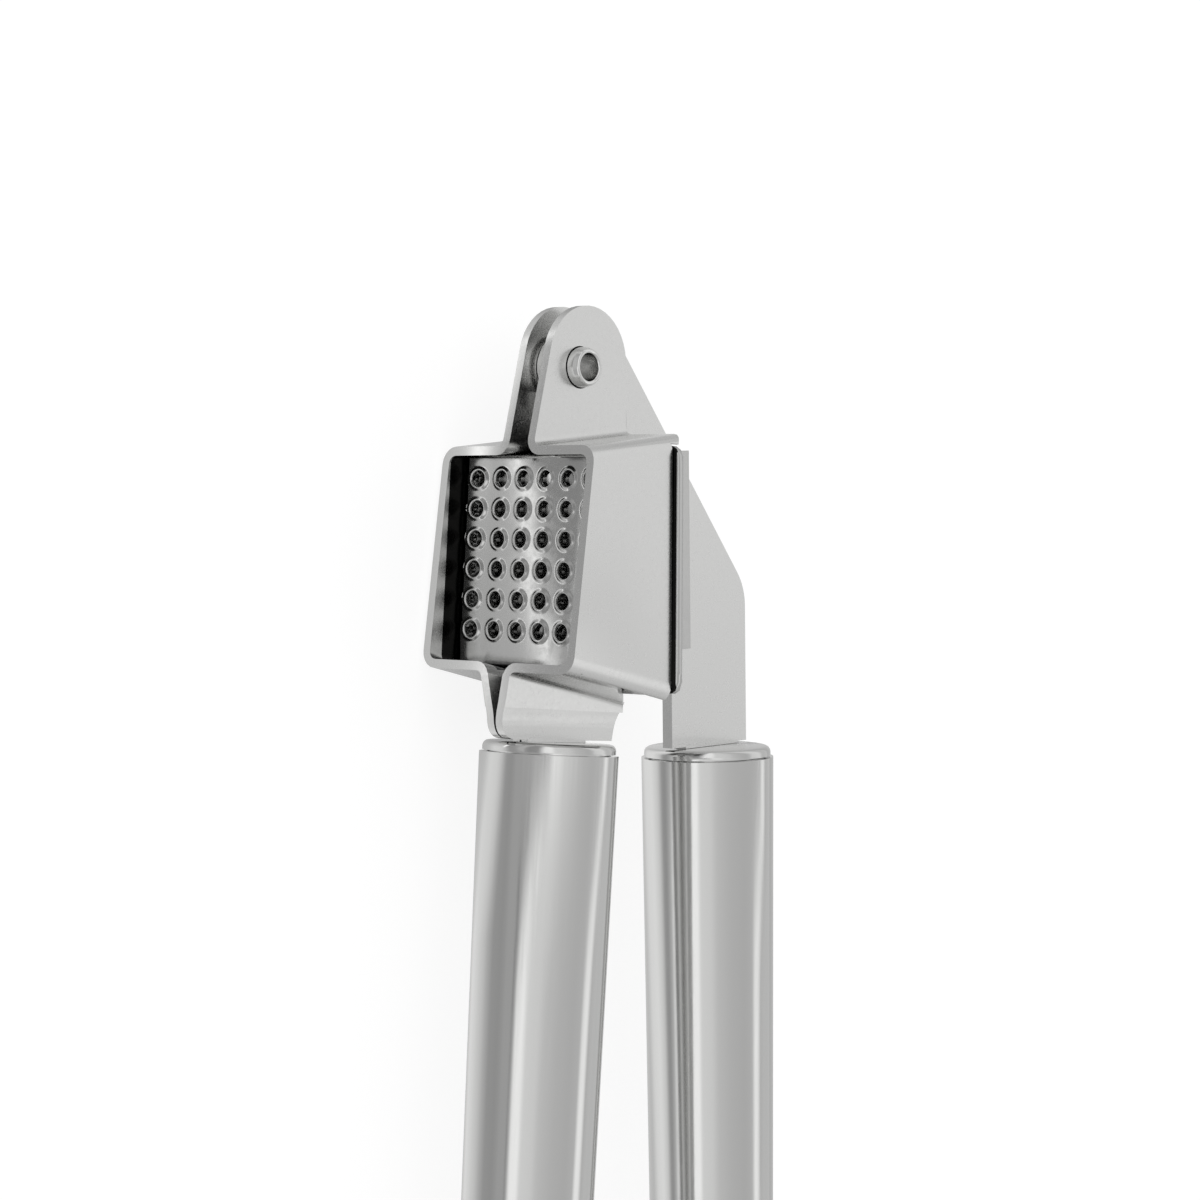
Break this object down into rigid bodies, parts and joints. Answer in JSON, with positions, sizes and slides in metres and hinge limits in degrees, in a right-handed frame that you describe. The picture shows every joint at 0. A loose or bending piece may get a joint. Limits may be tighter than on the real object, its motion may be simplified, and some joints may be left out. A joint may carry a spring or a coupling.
{
  "type": "garlic press",
  "caption": "Stainless steel garlic press: a sheet frame with a lift-out sieve basket and a tubular handle, and a hinged lever with a plunger and a second tubular handle.",
  "frame": {"origin": "middle of the footprint, on the surface that the press lies on", "axes": "+X from the hinge ears towards the handle ends, +Y from the sieve side towards the lever side, +Z along the hinge, upwards as the press lies on its left side"},
  "size_m": [0.1696, 0.0614, 0.0287],
  "materials": {
    "satin_sheet": "satin, tumbled sheet",
    "drawn_sheet": "semi-bright, pressed sheet",
    "turned_steel": "bright, turned",
    "brushed_tube": "polished along the tube"
  },
  "bodies": {
    "frame": {"frame_right": "satin_sheet", "frame_left": "satin_sheet", "sieve_basket": "drawn_sheet", "pivot_rivet": "turned_steel", "spacer_right": "turned_steel", "spacer_left": "turned_steel", "front_handle_tube": "brushed_tube", "front_handle_cap": "turned_steel", "front_handle_end": "brushed_tube"},
    "lever": {"lever_plate": "satin_sheet", "plunger_shell": "drawn_sheet", "rear_handle_tube": "brushed_tube", "rear_handle_cap": "turned_steel", "rear_handle_end": "brushed_tube"}
  },
  "joints": [
    {"name": "lever_hinge", "type": "hinge", "parent": "frame", "child": "lever", "pos_m": [-0.07656, -0.02027, 0.01435], "axis": [0, 0, 1], "range_deg": [-5, 240]}
  ]
}
